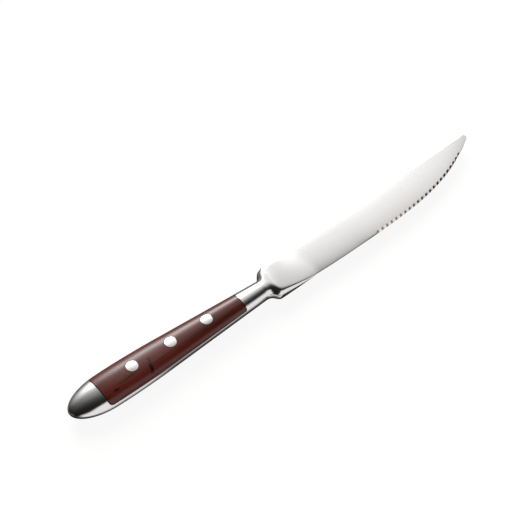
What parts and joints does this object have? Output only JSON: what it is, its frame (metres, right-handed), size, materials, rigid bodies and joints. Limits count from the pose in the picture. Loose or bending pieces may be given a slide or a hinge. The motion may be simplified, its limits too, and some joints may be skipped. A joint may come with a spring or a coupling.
{
  "type": "steak knife",
  "caption": "Steak knife with a forged, serrated blade, square collar and full tang, and a steel-capped handle with riveted wooden scales.",
  "frame": {"origin": "Below the middle of the whole knife, halfway along its length and its width, at the level of its lowest point as it lies on its left-hand side.", "axes": "+X runs along the knife from butt to tip, +Y from the cutting edge to the spine, +Z out of the right-hand side, the one that the serrations are ground from."},
  "size_m": [0.22, 0.0196, 0.0107],
  "materials": {
    "forged_steel": "satin",
    "scale_wood": "oiled, satin",
    "rivet_steel": "satin"
  },
  "bodies": {
    "root": {"forged_knife": "forged_steel", "right_scale": "scale_wood", "left_scale": "scale_wood", "butt_rivet_pin": "rivet_steel", "butt_rivet_tube": "rivet_steel", "middle_rivet_pin": "rivet_steel", "middle_rivet_tube": "rivet_steel", "neck_rivet_pin": "rivet_steel", "neck_rivet_tube": "rivet_steel"}
  },
  "joints": []
}
